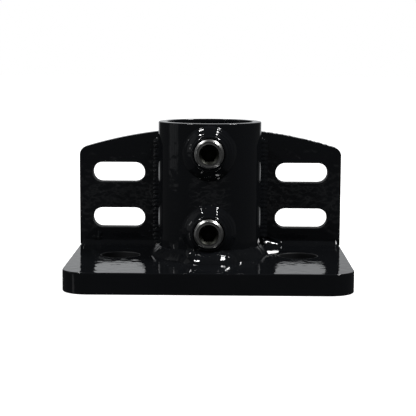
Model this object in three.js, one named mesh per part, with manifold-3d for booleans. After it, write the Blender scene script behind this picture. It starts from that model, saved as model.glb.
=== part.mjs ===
// Stanchion base: a socket tube welded upright to a base plate and to a slotted side plate.
// Two hex-socket set screws in welded bosses clamp the post that stands in the tube.
//
// Millimetres, +Z up, the screws face -Y. The origin is the centre of the base plate's underside.

import * as THREE from 'three';
import { mergeVertices } from 'three/addons/utils/BufferGeometryUtils.js';
import Module from 'manifold-3d';

// ---------------------------------------------------------------- driving dimensions

const GAP = 0.3; // between neighbouring solids that a weld joins

const BASE_WIDTH = 160;
const BASE_DEPTH = 110;
const BASE_THICKNESS = 12;
const BASE_FRONT_RADIUS = 14.5;
const BASE_EDGE = 0.8;
const BASE_HOLE_DIAMETER = 22;
const BASE_HOLE_X = 52;
const BASE_HOLE_Y = 8;

const PLATE_THICKNESS = 8;
const PLATE_HEIGHT = 72;
const PLATE_CROWN_RADIUS = 261;
const PLATE_CORNER_RADIUS = 5.5;
const PLATE_EDGE = 0.5;
const SLOT_LENGTH = 32;
const SLOT_WIDTH = 12;
const SLOT_X = 56;
const SLOT_HEIGHTS = [17, 45];

const TUBE_DIAMETER = 60.3;
const TUBE_WALL = 5;
const TUBE_TOP = 78;
const TUBE_RIM = 0.8;

const BOSS_DIAMETER = 21;
const BOSS_REACH = 5;
const BOSS_EDGE = 0.8;
const BOSS_HEIGHTS = { upper: 61.4, lower: 16.2 };

const SCREW_DIAMETER = 16.66; // 3/8 BSP parallel thread
const SCREW_CLEARANCE = 0.2;
const SCREW_STANDOUT = 2.9;
const SCREW_CHAMFER = 1;
const HEX_ACROSS_FLATS = 8;
const HEX_DEPTH = 6.5;
const CUP_DIAMETER = 11;
const CUP_THICKNESS = 1.8;
const CUP_RECESS = 1;

const FOOT_LEG = 4.8;
const FOOT_RISE = 6;
const APRON_RADII = new THREE.Vector3(17, 13, 6); // of the mound under the lower boss
const BOSS_WELD_LEG = 5;
const BOSS_WELD_RISE = 4;
const SEAM_TOE = 34.5;
const SEAM_ANGLE = THREE.MathUtils.degToRad(38);
const SEAM_ROOT_X = 7;
const SEAM_BULGE = 2.4;
const SEAM_TOP = 68;
const FILLET_LEG = 3.2;
const LUMP_X = 35.8;
const LUMP_Y = 38.5;
const LUMP_RADII = new THREE.Vector3(7.6, 9.5, 6);

const ROUND_SEGMENTS = 64;
const SMALL_SEGMENTS = 32;

// ---------------------------------------------------------------- derived places

const BASE_REAR = BASE_DEPTH / 2;
const PLATE_FRONT = BASE_REAR - PLATE_THICKNESS;
const TUBE_RADIUS = TUBE_DIAMETER / 2;
const TUBE_BORE_RADIUS = TUBE_RADIUS - TUBE_WALL;
const TUBE_Y = PLATE_FRONT - GAP - TUBE_RADIUS;
const BOSS_RADIUS = BOSS_DIAMETER / 2;
const BOSS_FACE_Y = TUBE_Y - TUBE_RADIUS - BOSS_REACH;
const SCREW_RADIUS = SCREW_DIAMETER / 2;
const SCREW_HOLE_RADIUS = SCREW_RADIUS + SCREW_CLEARANCE;
const SCREW_FACE_Y = BOSS_FACE_Y - SCREW_STANDOUT;
const SCREW_TIP_Y = TUBE_Y - TUBE_BORE_RADIUS - GAP;
const CUP_REAR_Y = SCREW_TIP_Y - CUP_THICKNESS;
const SCREW_LENGTH = CUP_REAR_Y - GAP - SCREW_FACE_Y;

const BLACK_PAINT = { color: 0x0b0b0d, roughness: 0.18, metalness: 0 };
const BRIGHT_STEEL = { color: 0xc9c8c5, roughness: 0.3, metalness: 1 };

// ---------------------------------------------------------------- solids

const wasm = await Module();
wasm.setup();

function toSolid(geometry) {
  const bare = geometry.index ? geometry.toNonIndexed() : geometry.clone();
  bare.deleteAttribute('normal');
  bare.deleteAttribute('uv');
  const merged = mergeVertices(bare, 1e-4);
  const corners = merged.index.array;
  const triangles = [];
  for (let i = 0; i < corners.length; i += 3) {
    const [a, b, c] = corners.slice(i, i + 3);
    if (a !== b && b !== c && c !== a) triangles.push(a, b, c);
  }
  return new wasm.Manifold(new wasm.Mesh({
    numProp: 3,
    vertProperties: new Float32Array(merged.attributes.position.array),
    triVerts: new Uint32Array(triangles),
  }));
}

function toGeometry(solid) {
  const mesh = solid.getMesh();
  const geometry = new THREE.BufferGeometry();
  geometry.setAttribute('position', new THREE.BufferAttribute(mesh.vertProperties, 3));
  geometry.setIndex(new THREE.BufferAttribute(mesh.triVerts, 1));
  return geometry;
}

function cut(geometry, ...cutters) {
  let solid = toSolid(geometry);
  for (const cutter of cutters) solid = solid.subtract(toSolid(cutter));
  return toGeometry(solid);
}

// A block between two corners, for trimming.
function block(low, high) {
  const size = high.map((value, axis) => value - low[axis]);
  const centre = high.map((value, axis) => (value + low[axis]) / 2);
  return new THREE.BoxGeometry(...size).translate(...centre);
}

// Revolves [radius, height] points about +Z, or about Y with revolveY.
function revolveY(profile, segments) {
  const points = profile.map(([radius, height]) => new THREE.Vector2(radius, height));
  return new THREE.LatheGeometry(points, segments);
}

function revolveZ(profile, segments) {
  return revolveY(profile, segments).rotateX(Math.PI / 2);
}

function cylinderY(radius, fromY, toY, x, z) {
  const length = toY - fromY;
  return new THREE.CylinderGeometry(radius, radius, length, SMALL_SEGMENTS)
    .translate(x, (fromY + toY) / 2, z);
}

function cylinderZ(radius, fromZ, toZ) {
  return new THREE.CylinderGeometry(radius, radius, toZ - fromZ, ROUND_SEGMENTS)
    .rotateX(Math.PI / 2)
    .translate(0, TUBE_Y, (fromZ + toZ) / 2);
}

function ringOf(innerRadius, outerRadius, bottom, top, edge) {
  return [
    [innerRadius, bottom],
    [outerRadius, bottom],
    [outerRadius, top - edge],
    [outerRadius - edge, top],
    [innerRadius + edge, top],
    [innerRadius, top - edge],
    [innerRadius, bottom],
  ];
}

// ---------------------------------------------------------------- plates

function basePlate() {
  const halfWidth = BASE_WIDTH / 2;
  const front = -BASE_DEPTH / 2;
  const r = BASE_FRONT_RADIUS;
  const outline = new THREE.Shape();
  outline.moveTo(-halfWidth + r, front);
  outline.absarc(halfWidth - r, front + r, r, -Math.PI / 2, 0, false);
  outline.lineTo(halfWidth, BASE_REAR);
  outline.lineTo(-halfWidth, BASE_REAR);
  outline.absarc(-halfWidth + r, front + r, r, Math.PI, 1.5 * Math.PI, false);
  for (const side of [-1, 1]) {
    const hole = new THREE.Path();
    hole.absarc(side * BASE_HOLE_X, BASE_HOLE_Y, BASE_HOLE_DIAMETER / 2, 0, 2 * Math.PI, true);
    outline.holes.push(hole);
  }
  const plate = new THREE.ExtrudeGeometry(outline, {
    depth: BASE_THICKNESS - 2 * BASE_EDGE,
    bevelThickness: BASE_EDGE,
    bevelSize: BASE_EDGE,
    bevelOffset: -BASE_EDGE,
    bevelSegments: 1,
    curveSegments: 10,
  });
  return plate.translate(0, 0, BASE_EDGE);
}

// The outline is drawn as x across and y up, from the base plate's top face.
function uprightPlate() {
  const halfWidth = BASE_WIDTH / 2;
  const r = PLATE_CORNER_RADIUS;
  const crownCentre = PLATE_HEIGHT - PLATE_CROWN_RADIUS;
  const cornerX = halfWidth - r;
  const cornerY = crownCentre + Math.sqrt((PLATE_CROWN_RADIUS - r) ** 2 - cornerX ** 2);
  const crownAngle = Math.atan2(cornerY - crownCentre, cornerX);
  const outline = new THREE.Shape();
  outline.moveTo(-halfWidth, GAP);
  outline.lineTo(halfWidth, GAP);
  outline.absarc(cornerX, cornerY, r, 0, crownAngle, false);
  outline.absarc(0, crownCentre, PLATE_CROWN_RADIUS, crownAngle, Math.PI - crownAngle, false);
  outline.absarc(-cornerX, cornerY, r, Math.PI - crownAngle, Math.PI, false);
  const reach = (SLOT_LENGTH - SLOT_WIDTH) / 2;
  for (const side of [-1, 1]) {
    for (const height of SLOT_HEIGHTS) {
      const x = side * SLOT_X;
      const slot = new THREE.Path();
      slot.absarc(x - reach, height, SLOT_WIDTH / 2, 1.5 * Math.PI, 0.5 * Math.PI, true);
      slot.absarc(x + reach, height, SLOT_WIDTH / 2, 0.5 * Math.PI, -0.5 * Math.PI, true);
      outline.holes.push(slot);
    }
  }
  const plate = new THREE.ExtrudeGeometry(outline, {
    depth: PLATE_THICKNESS - 2 * PLATE_EDGE,
    bevelThickness: PLATE_EDGE,
    bevelSize: PLATE_EDGE,
    bevelOffset: -PLATE_EDGE,
    bevelSegments: 1,
    curveSegments: 6,
  });
  return plate.rotateX(Math.PI / 2).translate(0, BASE_REAR - PLATE_EDGE, BASE_THICKNESS);
}

// ---------------------------------------------------------------- tube and bosses

function screwHole(height) {
  const outside = BOSS_FACE_Y - 1;
  return cylinderY(SCREW_HOLE_RADIUS, outside, TUBE_Y, 0, BASE_THICKNESS + height);
}

function socketTube() {
  const profile = ringOf(TUBE_BORE_RADIUS, TUBE_RADIUS, GAP, TUBE_TOP, TUBE_RIM);
  const tube = revolveZ(profile, ROUND_SEGMENTS).translate(0, TUBE_Y, BASE_THICKNESS);
  return cut(tube, ...Object.values(BOSS_HEIGHTS).map(screwHole));
}

// A ring whose inner end is saddled to the tube.
function boss(height) {
  const rear = TUBE_Y - TUBE_BORE_RADIUS;
  const blank = revolveY([
    [SCREW_HOLE_RADIUS, -rear],
    [BOSS_RADIUS, -rear],
    [BOSS_RADIUS, -BOSS_FACE_Y - BOSS_EDGE],
    [BOSS_RADIUS - BOSS_EDGE, -BOSS_FACE_Y],
    [SCREW_HOLE_RADIUS, -BOSS_FACE_Y],
    [SCREW_HOLE_RADIUS, -rear],
  ], SMALL_SEGMENTS);
  blank.rotateX(Math.PI).translate(0, 0, BASE_THICKNESS + height);
  return cut(blank, cylinderZ(TUBE_RADIUS + GAP, 0, BASE_THICKNESS + TUBE_TOP + 1));
}

// ---------------------------------------------------------------- set screws

// Drawn from the driving end at 0 to the point, along +Y.
function setScrew(height) {
  const body = revolveY([
    [0, 0],
    [SCREW_RADIUS - SCREW_CHAMFER, 0],
    [SCREW_RADIUS, SCREW_CHAMFER],
    [SCREW_RADIUS, SCREW_LENGTH - SCREW_CHAMFER],
    [SCREW_RADIUS - SCREW_CHAMFER, SCREW_LENGTH],
    [0, SCREW_LENGTH],
  ], SMALL_SEGMENTS);
  const cornerRadius = HEX_ACROSS_FLATS / Math.sqrt(3);
  const socket = new THREE.CylinderGeometry(cornerRadius, cornerRadius, 2 * HEX_DEPTH, 6);
  return cut(body, socket).translate(0, SCREW_FACE_Y, BASE_THICKNESS + height);
}

function screwCup(height) {
  const radius = CUP_DIAMETER / 2;
  return revolveY([
    [0, 0],
    [radius, 0],
    [radius, CUP_THICKNESS / 2],
    [radius - CUP_THICKNESS / 2, CUP_THICKNESS],
    [0, CUP_THICKNESS - CUP_RECESS],
  ], SMALL_SEGMENTS).translate(0, CUP_REAR_Y, BASE_THICKNESS + height);
}

// ---------------------------------------------------------------- welds

// A fillet weld's face between two legs, as [outwards, upwards] points.
function filletFace(leg, rise) {
  return [
    [leg, 0],
    [leg * 0.86, rise * 0.3],
    [leg * 0.5, rise * 0.66],
    [leg * 0.2, rise * 0.93],
    [0, rise],
  ];
}

// The ring widens into an apron in front, where it also ties the lower boss to the base plate.
function tubeFootWeld() {
  const inner = TUBE_RADIUS + GAP;
  const bottom = BASE_THICKNESS + GAP;
  const face = filletFace(FOOT_LEG, FOOT_RISE).map(([out, up]) => [inner + out, GAP + up]);
  const ring = revolveZ([[inner, GAP], ...face, [inner, GAP]], ROUND_SEGMENTS)
    .translate(0, TUBE_Y, BASE_THICKNESS);
  const apron = new THREE.SphereGeometry(1, 32, 16)
    .scale(...APRON_RADII)
    .translate(0, TUBE_Y - TUBE_RADIUS, bottom);
  const bead = toGeometry(toSolid(ring).add(toSolid(apron)));
  const behind = block([-50, TUBE_Y + TUBE_RADIUS * Math.sin(SEAM_ANGLE) - GAP, 0], [50, 80, 40]);
  const below = block([-50, -50, 0], [50, 50, bottom]);
  const lowerBoss = cylinderY(
    BOSS_RADIUS + GAP, BOSS_FACE_Y - 1, TUBE_Y, 0, BASE_THICKNESS + BOSS_HEIGHTS.lower,
  );
  return cut(bead, behind, below, cylinderZ(inner, 0, 40), lowerBoss);
}

// A fillet ring round a boss, laid on the tube's round face.
function bossWeld(height) {
  const inner = BOSS_RADIUS + GAP;
  const face = filletFace(BOSS_WELD_LEG, BOSS_WELD_RISE)
    .map(([out, up]) => [inner + out, GAP + up]);
  const ring = revolveY([[inner, GAP], ...face, [inner, GAP]], SMALL_SEGMENTS).rotateX(Math.PI);
  const position = ring.attributes.position;
  for (let i = 0; i < position.count; i += 1) {
    const x = position.getX(i);
    position.setY(i, position.getY(i) + TUBE_Y - Math.sqrt(TUBE_RADIUS ** 2 - x ** 2));
  }
  ring.translate(0, 0, BASE_THICKNESS + height);
  const footTop = BASE_THICKNESS + GAP + FOOT_RISE + GAP;
  return cut(ring, block([-50, -50, 0], [50, 50, footTop]));
}

// Fills the vee between the tube's side and the side plate; side is -1 on the left, 1 on the right.
function seamWeld(side) {
  const rootRadius = TUBE_RADIUS + GAP;
  const rear = PLATE_FRONT - GAP;
  const toeX = rootRadius * Math.cos(SEAM_ANGLE);
  const toeY = TUBE_Y + rootRadius * Math.sin(SEAM_ANGLE);
  const rootAngle = Math.acos(SEAM_ROOT_X / rootRadius);
  const outline = new THREE.Shape();
  outline.moveTo(SEAM_ROOT_X, rear);
  outline.lineTo(SEAM_TOE, rear);
  outline.quadraticCurveTo(
    (SEAM_TOE + toeX) / 2 + SEAM_BULGE / 2, (rear + toeY) / 2 - SEAM_BULGE / 2, toeX, toeY,
  );
  outline.absarc(0, TUBE_Y, rootRadius, SEAM_ANGLE, rootAngle, false);
  const bead = new THREE.ExtrudeGeometry(outline, {
    depth: SEAM_TOP - GAP,
    bevelEnabled: false,
    curveSegments: 8,
  });
  bead.translate(0, 0, BASE_THICKNESS + GAP);
  return side > 0 ? bead : mirrored(bead);
}

// Reflects a geometry in the YZ plane and turns its faces back outwards.
function mirrored(geometry) {
  return toGeometry(toSolid(geometry).mirror([1, 0, 0]));
}

// The fillet along the side plate's foot, from the seam weld to the plate's end.
function plateFootWeld() {
  const outline = new THREE.Shape();
  outline.moveTo(0, 0);
  for (const [out, up] of filletFace(FILLET_LEG, FILLET_LEG)) outline.lineTo(-out, up);
  const start = SEAM_TOE + GAP;
  const length = BASE_WIDTH / 2 - BASE_EDGE - start;
  return new THREE.ExtrudeGeometry(outline, { depth: length, bevelEnabled: false })
    .rotateX(Math.PI / 2)
    .rotateZ(Math.PI / 2)
    .translate(start, PLATE_FRONT - GAP, BASE_THICKNESS + GAP);
}

// The right-hand fillet starts in a heavy lump beside the tube.
function lumpedFootWeld() {
  const start = SEAM_TOE + GAP;
  const rear = PLATE_FRONT - GAP;
  const bottom = BASE_THICKNESS + GAP;
  const lump = new THREE.SphereGeometry(1, 24, 16)
    .scale(...LUMP_RADII)
    .translate(LUMP_X, LUMP_Y, bottom);
  const trimmed = toSolid(lump)
    .subtract(toSolid(block([0, 0, -20], [start, 80, 40])))
    .subtract(toSolid(block([0, rear, -20], [90, 80, 40])))
    .subtract(toSolid(block([0, 0, -20], [90, 80, bottom])));
  return toGeometry(toSolid(plateFootWeld()).add(trimmed));
}

// ---------------------------------------------------------------- assembly

const stanchionBase = new THREE.Group();

function addPiece(name, geometry, finish) {
  const piece = new THREE.Mesh(geometry, new THREE.MeshStandardMaterial(finish));
  piece.name = name;
  stanchionBase.add(piece);
}

addPiece('base_plate', basePlate(), BLACK_PAINT);
addPiece('upright_plate', uprightPlate(), BLACK_PAINT);
addPiece('socket_tube', socketTube(), BLACK_PAINT);

for (const [level, height] of Object.entries(BOSS_HEIGHTS)) {
  addPiece(`${level}_boss`, boss(height), BLACK_PAINT);
  addPiece(`${level}_boss_weld`, bossWeld(height), BLACK_PAINT);
  addPiece(`${level}_set_screw`, setScrew(height), BRIGHT_STEEL);
  addPiece(`${level}_screw_cup`, screwCup(height), BRIGHT_STEEL);
}

addPiece('tube_foot_weld', tubeFootWeld(), BLACK_PAINT);
addPiece('left_seam_weld', seamWeld(-1), BLACK_PAINT);
addPiece('right_seam_weld', seamWeld(1), BLACK_PAINT);
addPiece('left_plate_foot_weld', mirrored(plateFootWeld()), BLACK_PAINT);
addPiece('right_plate_foot_weld', lumpedFootWeld(), BLACK_PAINT);

export default stanchionBase;
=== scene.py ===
"""Stanchion base: painted steel plates, tube, bosses and weld beads, with bare steel set screws.

Lengths are written in millimetres and turned into metres when a mesh is made.
"""

import math
import random

import bmesh
import bpy
from mathutils import Matrix, Vector, noise


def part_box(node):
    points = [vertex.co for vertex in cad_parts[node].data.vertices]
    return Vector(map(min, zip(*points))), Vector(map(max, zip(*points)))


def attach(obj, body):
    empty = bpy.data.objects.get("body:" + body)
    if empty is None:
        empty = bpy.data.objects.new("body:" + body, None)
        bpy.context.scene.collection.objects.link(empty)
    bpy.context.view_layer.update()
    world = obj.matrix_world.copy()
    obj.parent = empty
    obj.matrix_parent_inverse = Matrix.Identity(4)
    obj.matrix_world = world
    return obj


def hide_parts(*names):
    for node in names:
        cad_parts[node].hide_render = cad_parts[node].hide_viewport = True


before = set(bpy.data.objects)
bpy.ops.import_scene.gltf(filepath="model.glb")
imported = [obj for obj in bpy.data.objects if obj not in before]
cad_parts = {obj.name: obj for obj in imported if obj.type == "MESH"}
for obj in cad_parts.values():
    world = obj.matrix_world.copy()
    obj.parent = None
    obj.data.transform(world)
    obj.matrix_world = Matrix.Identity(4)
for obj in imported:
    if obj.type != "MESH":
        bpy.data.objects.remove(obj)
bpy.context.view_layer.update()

MM = 0.001
TAU = 2 * math.pi


# ---------------------------------------------------------------- sizes

def box_mm(node):
    low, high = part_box(node)
    return low / MM, high / MM


base_low, base_high = box_mm("base_plate")
plate_low, plate_high = box_mm("upright_plate")
tube_low, tube_high = box_mm("socket_tube")
boss_low, boss_high = box_mm("upper_boss")
screw_low, screw_high = box_mm("upper_set_screw")

BASE_TOP = base_high.z
BASE_FRONT_RADIUS = 14.5
BASE_REAR_RADIUS = 0.8
BASE_EDGE = 0.5
DECK_HOLE_RADIUS = 11
DECK_HOLE_X = 52
DECK_HOLE_Y = 8

PLATE_FRONT = plate_low.y
PLATE_EDGE = 0.35
CROWN_RADIUS = 261
PLATE_CORNER_RADIUS = 5.5
SLOT_REACH = 10
SLOT_RADIUS = 6
SLOT_X = 56
SLOT_HEIGHTS = (17, 45)

TUBE_RADIUS = tube_high.x
TUBE_WALL = 5
BORE_RADIUS = TUBE_RADIUS - TUBE_WALL
TUBE_Y = (tube_low.y + tube_high.y) / 2
RIM_EDGE = 0.6

BOSS_RADIUS = boss_high.x
BOSS_FACE_Y = boss_low.y
BOSS_EDGE = 0.9
SCREW_RADIUS = screw_high.x
SCREW_LENGTH = screw_high.y - screw_low.y
SCREW_HOLE_RADIUS = SCREW_RADIUS + 0.2
THREAD_PITCH = 1.337
THREAD_DEPTH = 0.72
HEX_APOTHEM = 4.03
HEX_DEPTH = 6.3
LEAD_IN_RADIUS = 5.7
SCREW_CHAMFER = 1.0

BOSS_WELD_TOE = 15.6
BOSS_WELD_RISE = 4.3
BOSS_WELD_MIDDLE = 13
PASS_SPACING = 1.5
PASS_WIDTH = 0.75

FOOT_LEG = 4.8
FOOT_RISE = 6.0
FOOT_WELD_END = math.radians(134)
FOOT_WELD_MIDDLE = 33
FRONT_PASSES = ((3.1, 1.3), (6.0, 1.3), (8.8, 1.4))
APRON_HALF_WIDTH = 17
APRON_REACH = 13

SEAM_TOE_X = 34.5
SEAM_ANGLE = math.radians(38)
SEAM_TOP = 68
SEAM_COIN_PITCH = 2.6
COIN_SWELL = 0.62
PLATE_FILLET_LEG = 3.2
PLATE_FILLET_RISE = 3.0


# ---------------------------------------------------------------- mesh helpers

def wobble(*coordinates, scale=1.0, seed=0.0):
    """Smooth noise from -1 to 1 at a place given in millimetres."""
    x, y, z = (*coordinates, 0.0, 0.0)[:3]
    return noise.noise(Vector((x / scale + seed, y / scale - seed, z / scale + 0.37 * seed)))


def strip_faces(rows, columns, close_rows=False, close_columns=False):
    """Quads between points numbered row by row."""
    faces = []
    for i in range(rows if close_rows else rows - 1):
        for j in range(columns if close_columns else columns - 1):
            ni, nj = (i + 1) % rows, (j + 1) % columns
            faces.append((i * columns + j, ni * columns + j, ni * columns + nj, i * columns + nj))
    return faces


def make_piece(name, points, faces, material, body, nodes=(), origin=(0, 0, 0), trim=None):
    """A smooth-shaded mesh piece in metres that rides on a body and stands for CAD nodes.

    trim is a second material and the numbers of the faces that have it.
    """
    centre = Vector(origin)
    mesh = bpy.data.meshes.new(name)
    mesh.from_pydata([(Vector(p) - centre) * MM for p in points], [], faces)
    piece = bpy.data.objects.new(name, mesh)
    bpy.context.scene.collection.objects.link(piece)
    piece.location = centre * MM
    mesh.materials.append(material)
    if trim is not None:
        mesh.materials.append(trim[0])
        for number in trim[1]:
            mesh.polygons[number].material_index = 1
    finish_mesh(mesh)
    bpy.context.view_layer.update()
    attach(piece, body)
    if nodes:
        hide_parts(*nodes)
    return piece


def finish_mesh(mesh):
    work = bmesh.new()
    work.from_mesh(mesh)
    bmesh.ops.remove_doubles(work, verts=work.verts, dist=1e-7)
    bmesh.ops.recalc_face_normals(work, faces=work.faces)
    for face in work.faces:
        face.smooth = True
    work.to_mesh(mesh)
    work.free()


def loft(sections, closed):
    """Points and faces of a tube through equal closed sections, with end caps unless it is closed."""
    count = len(sections[0])
    points = [p for section in sections for p in section]
    faces = strip_faces(len(sections), count, close_rows=closed, close_columns=True)
    if not closed:
        faces.append(tuple(range(count)))
        faces.append(tuple(range(len(points) - count, len(points))))
    return points, faces


def revolve(profile, axis_point, segments, up="Z"):
    """A closed [radius, height] profile turned about an upright axis, or about one along -Y."""
    sections = []
    for i in range(segments):
        angle = TAU * i / segments
        section = []
        for radius, height in profile:
            across, along = radius * math.cos(angle), radius * math.sin(angle)
            offset = (across, along, height) if up == "Z" else (across, -height, along)
            section.append(Vector(axis_point) + Vector(offset))
        sections.append(section)
    return loft(sections, closed=True)


def arc(x, y, radius, start, end, steps):
    return [
        (x + radius * math.cos(start + (end - start) * k / steps),
         y + radius * math.sin(start + (end - start) * k / steps))
        for k in range(steps + 1)
    ]


def plate_mesh(loops_at, thickness, edge, place):
    """A plate with rounded edges.

    loops_at(inset) gives the outline and the holes with the material cut back by inset, and
    place(u, v, depth) turns a point on the outline and a depth into a point in space. The numbers
    of the faces that line the holes come third.
    """
    levels = []
    steps = 5
    flat = edge + 0.35
    for k in range(steps + 1):
        angle = k * math.pi / 2 / steps
        levels.append((edge * (1 - math.sin(angle)), edge * (1 - math.cos(angle))))
    near = [(flat, 0.0), *levels, (0.0, flat)]
    far = [(inset, thickness - depth) for inset, depth in reversed(near)]
    work = bmesh.new()
    rings = []
    for inset, depth in near + far:
        rings.append([
            [work.verts.new(place(u, v, depth)) for u, v in loop] for loop in loops_at(inset)
        ])
    lining = []
    for lower, upper in zip(rings, rings[1:]):
        for loop_number, (low_loop, high_loop) in enumerate(zip(lower, upper)):
            count = len(low_loop)
            if loop_number > 0:
                lining += range(len(work.faces), len(work.faces) + count)
            for i in range(count):
                j = (i + 1) % count
                work.faces.new((low_loop[i], low_loop[j], high_loop[j], high_loop[i]))
    for ring in (rings[0], rings[-1]):
        edges = []
        for loop in ring:
            for i, vertex in enumerate(loop):
                edges.append(work.edges.get((vertex, loop[(i + 1) % len(loop)])))
        bmesh.ops.triangle_fill(work, use_beauty=True, use_dissolve=False, edges=edges)
    work.verts.index_update()
    points = [v.co.copy() for v in work.verts]
    faces = [tuple(v.index for v in f.verts) for f in work.faces]
    work.free()
    return points, faces, lining


# ---------------------------------------------------------------- materials

def new_material(name):
    material = bpy.data.materials.new(name)
    material.use_nodes = True
    nodes, links = material.node_tree.nodes, material.node_tree.links
    shader = nodes["Principled BSDF"]
    coordinates = nodes.new("ShaderNodeTexCoord")
    return material, nodes, links, shader, coordinates


def noise_node(nodes, links, coordinates, scale, detail=2.0, roughness=0.5):
    texture = nodes.new("ShaderNodeTexNoise")
    texture.inputs["Scale"].default_value = scale
    texture.inputs["Detail"].default_value = detail
    texture.inputs["Roughness"].default_value = roughness
    links.new(coordinates.outputs["Object"], texture.inputs["Vector"])
    return texture


def range_node(nodes, links, source, low, high):
    ramp = nodes.new("ShaderNodeMapRange")
    ramp.inputs["From Min"].default_value = 0.3
    ramp.inputs["From Max"].default_value = 0.7
    ramp.inputs["To Min"].default_value = low
    ramp.inputs["To Max"].default_value = high
    links.new(source, ramp.inputs["Value"])
    return ramp.outputs["Result"]


def bump_node(nodes, links, height, distance, after=None):
    bump = nodes.new("ShaderNodeBump")
    bump.inputs["Strength"].default_value = 1.0
    bump.inputs["Distance"].default_value = distance
    links.new(height, bump.inputs["Height"])
    if after is not None:
        links.new(after, bump.inputs["Normal"])
    return bump.outputs["Normal"]


def black_paint(name, wrinkle, peel, gloss=(0.03, 0.08)):
    """Gloss black stoved paint: wrinkles a few millimetres long, with a finer orange peel."""
    material, nodes, links, shader, coordinates = new_material(name)
    shader.inputs["IOR"].default_value = 1.5
    shader.inputs["Metallic"].default_value = 0.0
    tone = noise_node(nodes, links, coordinates, 35, 3)
    mix = nodes.new("ShaderNodeMix")
    mix.data_type = "RGBA"
    mix.inputs["A"].default_value = (0.0052, 0.0058, 0.0070, 1)
    mix.inputs["B"].default_value = (0.0070, 0.0078, 0.0092, 1)
    links.new(tone.outputs["Fac"], mix.inputs["Factor"])
    links.new(mix.outputs["Result"], shader.inputs["Base Color"])
    sheen = noise_node(nodes, links, coordinates, 90, 4)
    links.new(range_node(nodes, links, sheen.outputs["Fac"], *gloss), shader.inputs["Roughness"])
    slow = noise_node(nodes, links, coordinates, 170, 1)
    fine = noise_node(nodes, links, coordinates, 600, 1)
    wrinkled = bump_node(nodes, links, slow.outputs["Fac"], wrinkle)
    peeled = bump_node(nodes, links, fine.outputs["Fac"], peel, wrinkled)
    links.new(peeled, shader.inputs["Normal"])
    return material


def turned_steel(name, dull, clean, roughness):
    """Bare steel between a dull and a clean colour: fine rings round the object's Y axis, and grime."""
    material, nodes, links, shader, coordinates = new_material(name)
    shader.inputs["Metallic"].default_value = 1.0
    rings = nodes.new("ShaderNodeTexWave")
    rings.wave_type = "RINGS"
    rings.rings_direction = "Y"
    rings.inputs["Scale"].default_value = 900
    rings.inputs["Distortion"].default_value = 1.5
    rings.inputs["Detail"].default_value = 2
    links.new(coordinates.outputs["Object"], rings.inputs["Vector"])
    grime = noise_node(nodes, links, coordinates, 260, 5, 0.6)
    mix = nodes.new("ShaderNodeMix")
    mix.data_type = "RGBA"
    mix.inputs["A"].default_value = (*dull, 1)
    mix.inputs["B"].default_value = (*clean, 1)
    links.new(range_node(nodes, links, grime.outputs["Fac"], 0, 1), mix.inputs["Factor"])
    links.new(mix.outputs["Result"], shader.inputs["Base Color"])
    worn = range_node(nodes, links, grime.outputs["Fac"], roughness + 0.12, roughness)
    links.new(worn, shader.inputs["Roughness"])
    links.new(bump_node(nodes, links, rings.outputs["Fac"], 0.00001), shader.inputs["Normal"])
    return material


PAINT = black_paint("black_gloss_paint", wrinkle=0.00012, peel=0.00001)
WELD_PAINT = black_paint("black_paint_on_weld", wrinkle=0.00014, peel=0.000015)
CUT_PAINT = black_paint("black_paint_on_cut_edge", wrinkle=0.00002, peel=0.00001, gloss=(0.45, 0.6))
STEEL = turned_steel("bright_turned_steel", (0.30, 0.30, 0.29), (0.62, 0.62, 0.61), 0.26)
# Near-black steel for the hex socket's walls and floor: painted shade of the deep recess, not a colour
# the steel has.
SOCKET_SHADE_STEEL = turned_steel("socket_steel_painted_shade", (0.018, 0.019, 0.016), (0.045, 0.046, 0.04), 0.42)


def painted(name, points, faces, nodes, material=PAINT, trim=None):
    return make_piece(name, points, faces, material, "fitting", nodes, trim=trim)


# ---------------------------------------------------------------- plates

def base_loops(inset):
    half = base_high.x
    front, rear = base_low.y, base_high.y
    r, q = BASE_FRONT_RADIUS, BASE_REAR_RADIUS
    outline = [
        *arc(half - r, front + r, r - inset, -math.pi / 2, 0, 20),
        *arc(half - q, rear - q, max(q - inset, 0.05), 0, math.pi / 2, 4),
        *arc(-half + q, rear - q, max(q - inset, 0.05), math.pi / 2, math.pi, 4),
        *arc(-half + r, front + r, r - inset, math.pi, 1.5 * math.pi, 20),
    ]
    holes = [
        arc(side * DECK_HOLE_X, DECK_HOLE_Y, DECK_HOLE_RADIUS + inset, 0, TAU * 71 / 72, 71)
        for side in (-1, 1)
    ]
    return [outline, *holes]


def base_plate():
    points, faces, lining = plate_mesh(
        base_loops, BASE_TOP - base_low.z, BASE_EDGE, lambda u, v, depth: Vector((u, v, depth)),
    )
    painted("base_plate_body", points, faces, ["base_plate"], trim=(CUT_PAINT, lining))


def upright_loops(inset):
    half = plate_high.x
    r = PLATE_CORNER_RADIUS
    centre = plate_high.z - BASE_TOP - CROWN_RADIUS
    corner_x = half - r
    corner_y = centre + math.sqrt((CROWN_RADIUS - r) ** 2 - corner_x ** 2)
    turn = math.atan2(corner_y - centre, corner_x)
    foot = plate_low.z - BASE_TOP + inset
    crown = arc(0, centre, CROWN_RADIUS - inset, turn, math.pi - turn, 260)
    outline = [
        (-half + inset, foot),
        (half - inset, foot),
        *arc(corner_x, corner_y, r - inset, 0, turn, 14)[:-1],
        *[(x, y + flame_cut(x)) for x, y in crown],
        *arc(-corner_x, corner_y, r - inset, math.pi - turn, math.pi, 14)[1:],
    ]
    slots = []
    for side in (-1, 1):
        for height in SLOT_HEIGHTS:
            x = side * SLOT_X
            radius = SLOT_RADIUS + inset
            slots.append([
                *arc(x + SLOT_REACH, height, radius, -math.pi / 2, math.pi / 2, 24),
                *arc(x - SLOT_REACH, height, radius, math.pi / 2, 1.5 * math.pi, 24),
            ])
    return [outline, *slots]


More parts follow.
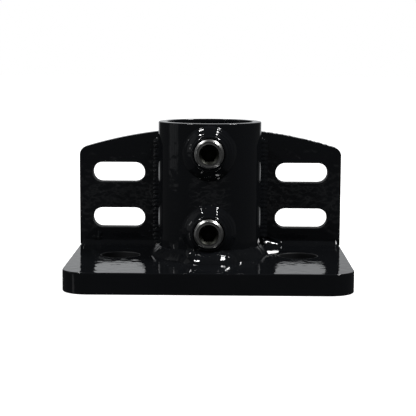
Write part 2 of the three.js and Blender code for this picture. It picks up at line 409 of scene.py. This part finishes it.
def flame_cut(x):
    """Bumps that the cutting torch left along the right half of the arched edge."""
    if x < 25:
        return 0.0
    fade = min(1.0, (x - 25) / 10) * min(1.0, max(0.0, (77 - x) / 4))
    bumps = 0.30 * wobble(x, scale=1.6, seed=3.0) + 0.16 * wobble(x, scale=0.7, seed=9.0)
    return fade * bumps


def upright_plate():
    def place(u, v, depth):
        return Vector((u, plate_high.y - depth, BASE_TOP + v))

    points, faces, lining = plate_mesh(
        upright_loops, plate_high.y - PLATE_FRONT, PLATE_EDGE, place,
    )
    painted("upright_plate_body", points, faces, ["upright_plate"], trim=(CUT_PAINT, lining))


# ---------------------------------------------------------------- tube and bosses

def socket_tube():
    bottom, top = tube_low.z - 0.25, tube_high.z
    rows = 60
    rise = top - RIM_EDGE - bottom
    outer_centre, inner_centre = TUBE_RADIUS - RIM_EDGE, BORE_RADIUS + RIM_EDGE
    profile = [(TUBE_RADIUS, bottom + rise * k / rows) for k in range(rows)]
    profile += arc(outer_centre, top - RIM_EDGE, RIM_EDGE, 0, math.pi / 2, 7)
    profile += arc(inner_centre, top - RIM_EDGE, RIM_EDGE, math.pi / 2, math.pi, 7)
    profile += [(BORE_RADIUS, bottom + rise * (rows - 1 - k) / rows) for k in range(rows)]
    points, faces = revolve(profile, (0, TUBE_Y, 0), 180)
    tube = painted("socket_tube_body", points, faces, ["socket_tube"])
    for level in ("upper", "lower"):
        low, high = box_mm(f"{level}_boss")
        drill_hole(tube, (low.z + high.z) / 2)


def drill_hole(tube, height):
    """Cuts a set screw's hole through the front wall."""
    profile = [(SCREW_HOLE_RADIUS, -5), (SCREW_HOLE_RADIUS, 25)]
    ring = [
        [Vector((r * math.cos(a), BOSS_FACE_Y + d, height + r * math.sin(a))) * MM
         for r, d in profile]
        for a in (TAU * i / 64 for i in range(64))
    ]
    points, faces = loft(ring_sections(ring), closed=False)
    mesh = bpy.data.meshes.new("drill")
    mesh.from_pydata(points, [], faces)
    finish_mesh(mesh)
    drill = bpy.data.objects.new("drill", mesh)
    bpy.context.scene.collection.objects.link(drill)
    cutter = tube.modifiers.new("hole", "BOOLEAN")
    cutter.operation = "DIFFERENCE"
    cutter.solver = "EXACT"
    cutter.object = drill
    apply_modifiers(tube)
    bpy.data.objects.remove(drill)


def ring_sections(ring):
    """Turns lines along an axis into the rings across it."""
    return [[line[k] for line in ring] for k in range(len(ring[0]))]


def apply_modifiers(piece):
    graph = bpy.context.evaluated_depsgraph_get()
    made = bpy.data.meshes.new_from_object(piece.evaluated_get(graph))
    piece.modifiers.clear()
    old = piece.data
    piece.data = made
    bpy.data.meshes.remove(old)


def tube_face_y(x):
    return TUBE_Y - math.sqrt(TUBE_RADIUS ** 2 - x ** 2)


def draped_ring(profile_at, height, segments):
    """Sections round a boss: profile_at(angle) gives [radius, lift off the tube's face] points."""
    sections = []
    for i in range(segments):
        angle = TAU * i / segments
        section = []
        for radius, lift in profile_at(angle):
            x = radius * math.cos(angle)
            z = height + radius * math.sin(angle)
            section.append(Vector((x, tube_face_y(x) - lift, z)))
        sections.append(section)
    return sections


def boss(level):
    low, high = box_mm(f"{level}_boss")
    height = (low.z + high.z) / 2
    hole = SCREW_HOLE_RADIUS
    face = TUBE_Y - TUBE_RADIUS - BOSS_FACE_Y

    def profile_at(angle):
        sink = TUBE_RADIUS - math.sqrt(TUBE_RADIUS ** 2 - (BOSS_RADIUS * math.cos(angle)) ** 2)
        rear = -1.5
        rounded = arc(BOSS_RADIUS - BOSS_EDGE, -BOSS_EDGE, BOSS_EDGE, 0, math.pi / 2, 6)
        return [
            (BOSS_RADIUS, rear),
            *[(r, face + d + sink) for r, d in rounded],
            (hole + 0.8, face + sink),
            (hole + 0.1, face + sink - 0.7),
            (hole, rear),
        ]

    sections = draped_ring(profile_at, height, 120)
    flatten_boss(sections)
    points, faces = loft(sections, closed=True)
    painted(f"{level}_boss_body", points, faces, [f"{level}_boss"])


def flatten_boss(sections):
    """The boss's front is square to its own axis: every ring but the first and last is level."""
    for k in range(1, len(sections[0]) - 1):
        level = min(section[k].y for section in sections)
        for section in sections:
            section[k].y = level


# ---------------------------------------------------------------- welds

def quadratic(start, control, end, steps):
    """Points of a curve that leaves start towards control and comes into end from it."""
    curve = []
    for k in range(steps + 1):
        t = k / steps
        a, b, c = (1 - t) ** 2, 2 * t * (1 - t), t * t
        curve.append(tuple(a * p + b * q + c * r for p, q, r in zip(start, control, end)))
    return curve


def cubic(start, control, second, end, steps):
    """Points of a curve that leaves start towards control and comes into end from second."""
    curve = []
    for k in range(steps + 1):
        t = k / steps
        a, b, c, d = (1 - t) ** 3, 3 * t * (1 - t) ** 2, 3 * t * t * (1 - t), t ** 3
        curve.append(tuple(
            a * p + b * q + c * r + d * e for p, q, r, e in zip(start, control, second, end)
        ))
    return curve


def raised(curve, side, height_at, toe_fade=0.5):
    """Moves a weld's face out to one side (1 left, -1 right), by nothing at its two toes.

    height_at(across, u, v) gives how far, across being 0 at the first toe and 1 at the second.
    A small toe_fade keeps the height nearly up to the toes.
    """
    made = []
    last = len(curve) - 1
    for k, (u, v) in enumerate(curve):
        before, after = curve[max(k - 1, 0)], curve[min(k + 1, last)]
        du, dv = after[0] - before[0], after[1] - before[1]
        size = math.hypot(du, dv)
        across = k / last
        swell = side * height_at(across, u, v) * max(0.0, math.sin(math.pi * across)) ** toe_fade
        made.append((u - dv / size * swell, v + du / size * swell))
    return made


def coins(run, across, pitch, bow, seed):
    """Height from 0 to 1 of the overlapping coins that a weld pool leaves, each bowed across the bead.

    Each swells slowly along the run and drops on a straight slope to the next.
    """
    phase = run / pitch + bow * (across - 0.5) ** 2 + 0.35 * wobble(run, scale=4.0, seed=seed)
    phase %= 1.0
    if phase < COIN_SWELL:
        return math.sin(phase / COIN_SWELL * math.pi / 2) ** 2
    return (1 - phase) / (1 - COIN_SWELL)


def crest(distance, width):
    """A rounded ridge: 1 along its line, 0 from one width away."""
    return math.cos(min(1.0, abs(distance) / width) * math.pi / 2) ** 2


def boss_weld(level, seed):
    """Passes laid round a boss, one outside the other; only the last shows on the left.

    They blend away under the boss, where the metal ran together.
    """
    low, high = box_mm(f"{level}_boss")
    height = (low.z + high.z) / 2
    inner = BOSS_RADIUS - 0.2

    def profile_at(angle):
        around = (math.cos(angle) * BOSS_WELD_MIDDLE, math.sin(angle) * BOSS_WELD_MIDDLE)
        toe = BOSS_WELD_TOE + 0.5 * wobble(*around, scale=7, seed=seed)
        top = BOSS_WELD_RISE + 0.35 * wobble(*around, scale=5, seed=seed + 2)
        start, end = (inner, top), (toe, 0.0)
        control = ((inner + toe) / 2 + 0.6, top / 2 + 0.75)
        shown = max(0.0, math.cos(angle)) ** 0.5
        lines = [
            (inner + 1.0 + PASS_SPACING * k + 0.35 * wobble(*around, scale=6, seed=seed + 3 + k), weight)
            for k, weight in enumerate((shown, shown, 1.0))
        ]
        apart = min(1.0, max(0.0, 0.5 + math.sin(angle)))

        def height_at(across, radius, lift):
            ridges = 0.24 * sum(weight * crest(radius - line, PASS_WIDTH) for line, weight in lines)
            lumps = 0.12 * wobble(*around, 4 * across, scale=2.4, seed=seed)
            return (ridges + lumps) * apart

        face = raised(quadratic(start, control, end, 40), 1, height_at)
        return [*face, (toe, -0.8), (inner, -0.8)]

    points, faces = loft(draped_ring(profile_at, height, 260), closed=True)
    painted(f"{level}_boss_weld_bead", points, faces, [f"{level}_boss_weld"], WELD_PAINT)


def apron_reach(turn):
    """How far the weld's front apron, an oval on the tube's front, reaches from the tube's wall."""
    a = (math.sin(turn) / APRON_HALF_WIDTH) ** 2 + (math.cos(turn) / APRON_REACH) ** 2
    b = -2 * math.cos(turn) * TUBE_RADIUS / APRON_REACH ** 2
    c = (TUBE_RADIUS / APRON_REACH) ** 2 - 1
    inside = b * b - 4 * a * c
    if inside < 0 or math.cos(turn) < 0:
        return 0.0
    return (-b + math.sqrt(inside)) / (2 * a) - TUBE_RADIUS


def foot_weld():
    """The ring round the tube's foot, from one seam round the front to the other."""
    count = 460
    inner = TUBE_RADIUS - 0.3
    sections = []
    for i in range(count + 1):
        turn = FOOT_WELD_END * (1 - 2 * i / count)
        run = turn * FOOT_WELD_MIDDLE
        around = (math.sin(turn) * FOOT_WELD_MIDDLE, math.cos(turn) * FOOT_WELD_MIDDLE)
        side_leg = FOOT_LEG + 0.5 * wobble(*around, scale=9, seed=1.0)
        side_leg += 0.5 * max(0.0, -math.sin(turn))
        reach = apron_reach(turn) + 0.4 * wobble(*around, scale=6, seed=3.0)
        leg = (side_leg ** 6 + max(0.0, reach) ** 6) ** (1 / 6)
        front = min(1.0, max(0.0, (leg - 5.5) / 6))
        rise = FOOT_RISE + 0.5 * wobble(*around, scale=8, seed=6.0)
        control = (inner + (0.64 + 0.14 * front) * leg, rise * (0.62 + 0.58 * front))
        to_the_right = min(1.0, max(0.0, turn / 0.12))

        def height_at(across, radius, lift):
            ridges = sum(crest(radius - inner - line, width) for line, width in FRONT_PASSES)
            ridges *= 0.45 * front * to_the_right
            scales = 0.07 * coins(run, across, 2.3, 1.5, 5.0)
            return ridges + scales + 0.25 * wobble(*around, 6 * across, scale=3.5, seed=4.0)

        toe = TUBE_RADIUS + leg
        face = raised(quadratic((inner, rise), control, (toe, 0.0), 30), 1, height_at)
        profile = [*face, (toe, -0.6), (inner, -0.6)]
        sections.append([
            Vector((r * math.sin(turn), TUBE_Y - r * math.cos(turn), BASE_TOP + h))
            for r, h in profile
        ])
    points, faces = loft(sections, closed=False)
    painted("tube_foot_weld_bead", points, faces, ["tube_foot_weld"], WELD_PAINT)


def seam_weld(side, name, depth, seed):
    """The bead in the vee between the tube and the side plate, its coins as deep as depth."""
    bottom, top = -0.5, SEAM_TOP
    count = 420
    sections = []
    for i in range(count + 1):
        run = bottom + (top - bottom) * i / count
        below_top = min(1.0, (top - run) / 4)
        taper = min(1.0, math.sqrt(max(0.0, 1 - (1 - below_top) ** 2)) + 0.02)
        plate_toe = SEAM_TOE_X + 0.7 + 0.6 * wobble(run, scale=5, seed=seed)
        angle = SEAM_ANGLE - math.radians(2) * wobble(run, scale=6, seed=seed + 4)
        tube_toe = (TUBE_RADIUS * math.cos(angle), TUBE_Y + TUBE_RADIUS * math.sin(angle))
        first = (tube_toe[0] + 4.7, tube_toe[1] + 1.9)
        second = (plate_toe - 3.7, PLATE_FRONT - 0.8)

        def height_at(across, x, y):
            lumps = 0.4 * depth * wobble(run, 7 * across, scale=3.2, seed=seed)
            return depth * coins(run, across, SEAM_COIN_PITCH, 1.0, seed) + lumps

        curve = cubic(tube_toe, first, second, (plate_toe, PLATE_FRONT), 28)
        curve = raised(curve, -1, height_at, toe_fade=0.2)
        root = (20.0, PLATE_FRONT - 4.0)
        curve = [(root[0] + (x - root[0]) * taper, root[1] + (y - root[1]) * taper)
                 for x, y in curve]
        back = PLATE_FRONT + 0.4
        loop = [*curve, (plate_toe * taper, back), (16.0, back), (16.0, 41.0)]
        sections.append([Vector((side * x, y, BASE_TOP + run)) for x, y in loop])
    points, faces = loft(sections, closed=False)
    painted(f"{name}_seam_weld_bead", points, faces, [f"{name}_seam_weld"], WELD_PAINT)


def plate_foot_weld(side, name, seed):
    """The small, nearly smooth fillet along the side plate's foot."""
    start, end = SEAM_TOE_X - 2.0, plate_high.x - 0.8
    count = 200
    sections = []
    for i in range(count + 1):
        x = start + (end - start) * i / count
        ending = math.sqrt(max(0.0, 1 - max(0.0, (x - end + 2.5) / 2.5) ** 2)) * 0.97 + 0.03
        leg = (PLATE_FILLET_LEG + 0.35 * wobble(x, scale=8, seed=seed)) * ending
        rise = (PLATE_FILLET_RISE + 0.3 * wobble(x, scale=7, seed=seed + 1)) * ending

        def height_at(across, u, h):
            lumps = 0.1 * wobble(x, across, scale=3, seed=seed)
            return 0.06 * coins(x, across, 2.2, 1.4, seed) + lumps

        curve = quadratic((0.0, rise), (-0.42 * leg, 0.42 * rise), (-leg, 0.0), 14)
        face = raised(curve, -1, height_at)
        profile = [*face, (-leg, -0.5), (0.5, -0.5), (0.5, rise)]
        sections.append([
            Vector((side * x, PLATE_FRONT + u, BASE_TOP + h)) for u, h in profile
        ])
    points, faces = loft(sections, closed=False)
    node = f"{name}_plate_foot_weld"
    painted(f"{node}_bead", points, faces, [node], WELD_PAINT)


def rounded_path(corners, radius, step):
    """Points a step apart along straight lines joined by arcs at every corner but the two ends."""
    points = []
    here = Vector(corners[0])
    for corner, following in zip(corners[1:], [*corners[2:], None]):
        corner = Vector(corner)
        if following is None:
            leave, bend = corner, []
        else:
            incoming, outgoing = (corner - here).normalized(), (Vector(following) - corner).normalized()
            cut = radius * math.tan(incoming.angle(outgoing) / 2)
            leave, arrive = corner - incoming * cut, corner + outgoing * cut
            bend = [Vector(p) for p in quadratic(leave, corner, arrive, 12)]
        count = max(1, round((leave - here).length / step))
        points += [here.lerp(leave, k / count) for k in range(count)]
        points += bend[:-1]
        here = bend[-1] if bend else leave
    return [*points, here]


def weld_lump():
    """The heap of weld metal where the right seam, the foot ring and the plate's fillet meet."""
    back = PLATE_FRONT + 0.4
    corners = [(29.6, back), (30.0, 34.0), (32.9, 28.2), (43.0, 32.6), (44.6, 37.0), (44.6, back)]
    outline = rounded_path(corners, 2.6, 0.5)
    spine_start, spine_end = Vector((32.2, 36.6)), Vector((37.3, 38.8))
    spine = spine_end - spine_start
    sections = []
    for x, y in outline:
        rise = 6.5 - 0.27 * (x - 31) + 0.2 * wobble(x, y, scale=2.5, seed=2.0)
        along = (Vector((x, y)) - spine_start).dot(spine) / spine.length_squared
        inward = (spine_start + spine * min(1.0, max(0.0, along)) - Vector((x, y))).normalized()
        depth = rise / 6 * min(1.0, (back - y) / 4 + 0.02)
        steep = quadratic((0.0, 0.0), (1.7 * depth, 0.60 * rise), (3.5 * depth, 0.95 * rise), 12)
        over = quadratic(steep[-1], (4.1 * depth, rise * 1.04), (5.4 * depth, rise * 1.05), 8)
        profile = [(0.0, -0.4), *steep, *over[1:]]
        section = []
        for inset, height in profile:
            place = Vector((x, y)) + inward * inset
            section.append(Vector((place.x, place.y, BASE_TOP + height)))
        sections.append(section)
    points, faces = loft_shell(sections)
    painted("weld_lump", points, faces, [], WELD_PAINT)


def weld_drip():
    """A long blob of metal that ran down to the left from the lower boss's weld onto the apron."""
    middle = Vector((-10.0, TUBE_Y - TUBE_RADIUS - 7.4, BASE_TOP + 4.9))
    out = Vector((-0.27, -0.80, 0.54)).normalized()
    down = Vector((0.5, -0.22, -0.84))
    along = (down - out * down.dot(out)).normalized()
    across = out.cross(along)
    rings = [(0.5, -6.0), (1.06, -1.5), (1.05, -0.6)]
    rings += [(1 - k / 12.5, 0.8 * (1 - (1 - k / 12.5) ** 2)) for k in range(13)]
    rows = []
    for size, height in rings:
        row = []
        for i in range(72):
            angle = TAU * i / 72
            lengthways, sideways = 4.6 * size * math.cos(angle), 2.7 * size * math.sin(angle)
            place = middle + along * lengthways + across * sideways
            row.append(place + out * (height + 0.12 * wobble(*place, scale=2.0, seed=3.0)))
        rows.append(row)
    points, faces = loft(rows, closed=False)
    painted("weld_drip", points, faces, [], WELD_PAINT)


def loft_shell(sections):
    """Sections side by side round an axis, closed below and above by their first and last rings."""
    return loft(ring_sections(sections), closed=False)


# ---------------------------------------------------------------- set screws

def hex_radius(angle, apothem):
    """Distance from the centre to a hexagon's side, with a corner straight up."""
    return apothem / math.cos((angle % (math.pi / 3)) - math.pi / 6)


def set_screw(level):
    """A threaded slug with a hex socket, drawn about its own axis from its driving face."""
    low, high = box_mm(f"{level}_set_screw")
    centre = Vector((0, low.y, (low.z + high.z) / 2))
    columns = 144
    rows = []
    rows.append(("socket", 0.0, HEX_DEPTH + 1.0))
    rows.append(("hex", 0.92, HEX_DEPTH + 0.25))
    rows += [("hex", 1.0, HEX_DEPTH * (1 - k / 16)) for k in range(17)]
    # The rows up to here line the hex socket, which gets the painted shade.
    socket_shade_rows = len(rows) - 1
    rows += [("face", 5.9, 0.0), ("face", 6.1, 0.14), ("face", 6.8, 0.14), ("face", 7.0, 0.0)]
    rows += [("rim", 0.0, 0.0)]
    depth_steps = 118
    rows += [("thread", 0.0, 0.02 + (SCREW_LENGTH - 0.04) * k / depth_steps)
             for k in range(depth_steps + 1)]
    rows += [("face", r, SCREW_LENGTH) for r in (6.8, 3.0)]
    rows.append(("socket", 0.0, SCREW_LENGTH))
    points = []
    for kind, value, depth in rows:
        for j in range(columns):
            angle = TAU * j / columns
            if kind == "socket":
                radius = 0.02
            elif kind == "hex":
                radius = max(hex_radius(angle, HEX_APOTHEM * value), LEAD_IN_RADIUS - depth)
            elif kind == "face":
                radius = value
            elif kind == "rim":
                radius = SCREW_RADIUS - SCREW_CHAMFER
            else:
                radius = thread_radius(angle, depth)
            points.append(centre + Vector((radius * math.cos(angle), depth, radius * math.sin(angle))))
    faces = strip_faces(len(rows), columns, close_columns=True)
    faces.append(tuple(range(columns)))
    faces.append(tuple(range(len(points) - columns, len(points))))
    # The hex socket's walls and floor take the near-black steel, which is painted shade of the recess.
    screw = make_piece(
        f"{level}_set_screw_body", points, faces, STEEL, f"{level}_screw",
        [f"{level}_set_screw"], origin=centre,
        trim=(SOCKET_SHADE_STEEL, [*range(socket_shade_rows * columns), len(faces) - 2]),
    )
    sharpen(screw)


def thread_radius(angle, depth):
    """The thread's radius at an angle and a depth, with both ends chamfered."""
    phase = (depth / THREAD_PITCH - angle / TAU) % 1.0
    groove = abs(2 * phase - 1)
    cut = THREAD_DEPTH * min(1.0, max(0.0, groove * 1.35 - 0.2))
    ends = min(depth, SCREW_LENGTH - depth)
    return min(SCREW_RADIUS - cut, SCREW_RADIUS - SCREW_CHAMFER + ends)


def sharpen(piece, degrees=35):
    """Keeps creases crisp while the faces between them stay smooth."""
    mesh = piece.data
    work = bmesh.new()
    work.from_mesh(mesh)
    for edge in work.edges:
        if len(edge.link_faces) == 2 and edge.calc_face_angle(0.0) > math.radians(degrees):
            edge.smooth = False
    work.to_mesh(mesh)
    work.free()


def screw_cup(level):
    low, high = box_mm(f"{level}_screw_cup")
    centre = Vector((0, low.y, (low.z + high.z) / 2))
    radius = high.x
    depth = high.y - low.y
    profile = [
        (0.01, 0.0), (radius - 0.3, 0.0), (radius, 0.3), (radius, depth * 0.45),
        (radius - 0.9, depth - 0.12), (radius - 1.05, depth), (radius - 1.25, depth - 0.1),
        (radius - 2.4, depth - 0.85), (0.01, depth - 1.0),
    ]
    flipped = [(r, -d) for r, d in profile]
    points, faces = revolve(flipped, centre, 96, up="-Y")
    cup = make_piece(
        f"{level}_screw_cup_body", points, faces, STEEL, f"{level}_cup",
        [f"{level}_screw_cup"], origin=centre,
    )
    sharpen(cup)


# ---------------------------------------------------------------- spatter

def spatter():
    """Droplets thrown off the arc, stuck under the paint low on the side plate and by the seams."""
    rng = random.Random(11)
    places = [(-rng.uniform(67.5, 73.5), rng.uniform(0.8, 7), rng.uniform(0.9, 1.4)) for _ in range(9)]
    places += [(-rng.uniform(36, 38.5), rng.uniform(4, 64), rng.uniform(0.3, 0.6)) for _ in range(14)]
    places += [(rng.uniform(37, 41), rng.uniform(12, 64), rng.uniform(0.3, 0.5)) for _ in range(6)]
    work = bmesh.new()
    for x, height, radius in places:
        drop = bmesh.ops.create_icosphere(work, subdivisions=3, radius=radius)
        stretch = Vector((rng.uniform(0.8, 1.2), 0.4, rng.uniform(0.8, 1.3)))
        for vertex in drop["verts"]:
            lump = 1 + 0.12 * wobble(*(vertex.co * 3), seed=x)
            vertex.co = Vector((x, PLATE_FRONT, BASE_TOP + height)) + vertex.co * stretch * lump
    work.verts.index_update()
    points = [v.co.copy() for v in work.verts]
    faces = [tuple(v.index for v in f.verts) for f in work.faces]
    work.free()
    painted("weld_spatter", points, faces, [], WELD_PAINT)


# ---------------------------------------------------------------- build

base_plate()
upright_plate()
socket_tube()
for level, seed in (("upper", 2.0), ("lower", 7.0)):
    boss(level)
    boss_weld(level, seed)
    set_screw(level)
    screw_cup(level)
foot_weld()
seam_weld(-1, "left", 0.65, 1.0)
seam_weld(1, "right", 0.3, 8.0)
plate_foot_weld(-1, "left", 3.0)
plate_foot_weld(1, "right", 5.0)
weld_lump()
weld_drip()
spatter()


# ---------------------------------------------------------------- stage, light, camera

def floor():
    """A pale table, lit from below as well as from above, that the gloss paint doesn't mirror."""
    mesh = bpy.data.meshes.new("floor")
    size = 6.0
    mesh.from_pydata([(-size, -size, 0), (size, -size, 0), (size, size, 0), (-size, size, 0)], [],
                     [(0, 1, 2, 3)])
    plane = bpy.data.objects.new("floor", mesh)
    plane.location.z = -0.0002
    bpy.context.scene.collection.objects.link(plane)
    material, nodes, links, shader, coordinates = new_material("pale_floor")
    shader.inputs["Base Color"].default_value = (0.9, 0.9, 0.9, 1)
    shader.inputs["Roughness"].default_value = 0.9
    shader.inputs["Specular IOR Level"].default_value = 0.0
    shader.inputs["Emission Color"].default_value = (1, 1, 1, 1)
    shader.inputs["Emission Strength"].default_value = 0.85
    mesh.materials.append(material)
    plane.visible_glossy = False
    plane.visible_diffuse = False


def smooth_step(nodes, links, source, start, end, low, high):
    step = nodes.new("ShaderNodeMapRange")
    step.interpolation_type = "SMOOTHSTEP"
    step.inputs["From Min"].default_value = start
    step.inputs["From Max"].default_value = end
    step.inputs["To Min"].default_value = low
    step.inputs["To Max"].default_value = high
    links.new(source, step.inputs["Value"])
    return step.outputs["Result"]


def combine(nodes, links, operation, first, second):
    joined = nodes.new("ShaderNodeMath")
    joined.operation = operation
    links.new(first, joined.inputs[0])
    links.new(second, joined.inputs[1])
    return joined.outputs[0]


def product(nodes, links, terms):
    total = terms[0]
    for term in terms[1:]:
        total = combine(nodes, links, "MULTIPLY", total, term)
    return total


def studio_world():
    """What the gloss mirrors: a dark room with a pale backdrop behind the part.

    There is a window and a low doorway on the left, and a strip of lit table in front.
    """
    world = bpy.data.worlds.new("studio")
    bpy.context.scene.world = world
    world.use_nodes = True
    nodes, links = world.node_tree.nodes, world.node_tree.links
    mirrored = nodes["Background"]
    mirrored.inputs["Color"].default_value = (0.96, 0.98, 1.0, 1)
    coordinates = nodes.new("ShaderNodeTexCoord")
    split = nodes.new("ShaderNodeSeparateXYZ")
    links.new(coordinates.outputs["Generated"], split.inputs["Vector"])
    x, y, z = (split.outputs[axis] for axis in "XYZ")
    aside = nodes.new("ShaderNodeMath")
    aside.operation = "ABSOLUTE"
    links.new(x, aside.inputs[0])

    def step(source, start, end, low, high):
        return smooth_step(nodes, links, source, start, end, low, high)

    backdrop = product(nodes, links, [
        step(aside.outputs[0], 0.3, 0.55, 0.52, 0.0), step(x, -0.12, 0.12, 1.1, 0.9),
        step(y, 0.0, 0.15, 0.0, 1.0), step(z, -0.165, -0.148, 0.0, 1.0), step(z, 0.42, 0.6, 1.0, 0.0),
    ])
    bands = nodes.new("ShaderNodeTexWave")
    bands.bands_direction = "Y"
    bands.inputs["Scale"].default_value = 3.4
    bands.inputs["Distortion"].default_value = 0.0
    links.new(coordinates.outputs["Generated"], bands.inputs["Vector"])
    window_sides = product(nodes, links, [
        step(x, -0.6, -0.8, 0.0, 1.0), step(y, -0.34, -0.2, 0.0, 1.0), step(y, 0.12, 0.26, 1.0, 0.0),
    ])
    window = product(nodes, links, [
        window_sides, step(z, -0.10, -0.085, 0.0, 0.2), step(bands.outputs["Fac"], 0.0, 1.0, 0.5, 1.0),
    ])
    doorway = product(nodes, links, [
        step(x, -0.6, -0.8, 0.0, 1.0), step(y, -0.50, -0.42, 0.0, 1.0), step(y, -0.36, -0.28, 1.0, 0.0),
        step(z, -0.155, -0.17, 0.0, 0.3),
    ])
    table = product(nodes, links, [
        step(z, -0.122, -0.1145, 0.0, 0.2), step(z, -0.1125, -0.107, 1.0, 0.0),
        step(y, -0.6, -0.9, 0.0, 1.0),
    ])
    room = nodes.new("ShaderNodeValue")
    room.outputs[0].default_value = 0.035
    total = room.outputs[0]
    for term in (backdrop, window, doorway, table):
        total = combine(nodes, links, "ADD", total, term)
    links.new(total, mirrored.inputs["Strength"])
    path = nodes.new("ShaderNodeLightPath")
    fill = nodes.new("ShaderNodeBackground")
    fill.inputs["Strength"].default_value = 0.36
    white = nodes.new("ShaderNodeBackground")
    white.inputs["Color"].default_value = (1, 1, 1, 1)
    lit = nodes.new("ShaderNodeMixShader")
    links.new(path.outputs["Is Glossy Ray"], lit.inputs["Fac"])
    links.new(fill.outputs["Background"], lit.inputs[1])
    links.new(mirrored.outputs["Background"], lit.inputs[2])
    seen = nodes.new("ShaderNodeMixShader")
    links.new(path.outputs["Is Camera Ray"], seen.inputs["Fac"])
    links.new(lit.outputs["Shader"], seen.inputs[1])
    links.new(white.outputs["Background"], seen.inputs[2])
    links.new(seen.outputs["Shader"], nodes["World Output"].inputs["Surface"])


def area_light(name, direction, distance, width, depth, radiance):
    """A soft box aimed at the part, whose face has the given radiance."""
    data = bpy.data.lights.new(name, "AREA")
    data.shape = "RECTANGLE"
    data.size, data.size_y = width, depth
    data.energy = radiance * math.pi * width * depth
    light = bpy.data.objects.new(name, data)
    aim = Vector((0, 0, 0.05))
    offset = Vector(direction).normalized() * distance
    light.location = aim + offset
    light.rotation_mode = "QUATERNION"
    light.rotation_quaternion = (-offset).to_track_quat("-Z", "Y")
    light.visible_camera = False
    bpy.context.scene.collection.objects.link(light)


def lights():
    area_light("right_lamp", (0.56, -0.13, 0.82), 1.5, 0.48, 0.10, 90)
    area_light("left_lamp", (-0.55, -0.36, 0.755), 1.5, 0.32, 0.10, 80)
    area_light("left_strip", (-0.98, -0.06, 0.18), 1.4, 0.04, 0.2, 5)


def camera():
    """A long lens in front, a little above the tube's rim, held almost level."""
    data = bpy.data.cameras.new("camera")
    data.sensor_width = 36
    data.lens = 109.56
    data.clip_start = 0.05
    data.clip_end = 50
    view = bpy.data.objects.new("camera", data)
    yaw, pitch, roll = (math.radians(v) for v in (0.652, 7.008, 0.306))
    ahead = Vector((-math.sin(yaw) * math.cos(pitch), math.cos(yaw) * math.cos(pitch), -math.sin(pitch)))
    right = Vector((math.cos(yaw), math.sin(yaw), 0))
    up = right.cross(ahead)
    turned_right = math.cos(roll) * right + math.sin(roll) * up
    turned_up = math.cos(roll) * up - math.sin(roll) * right
    axes = Matrix((turned_right, turned_up, -ahead)).transposed().to_4x4()
    view.matrix_world = Matrix.Translation((0.00754, -0.72535, 0.12997)) @ axes
    bpy.context.scene.collection.objects.link(view)
    bpy.context.scene.camera = view


floor()
studio_world()
lights()
camera()
bpy.context.scene.view_settings.view_transform = "Standard"
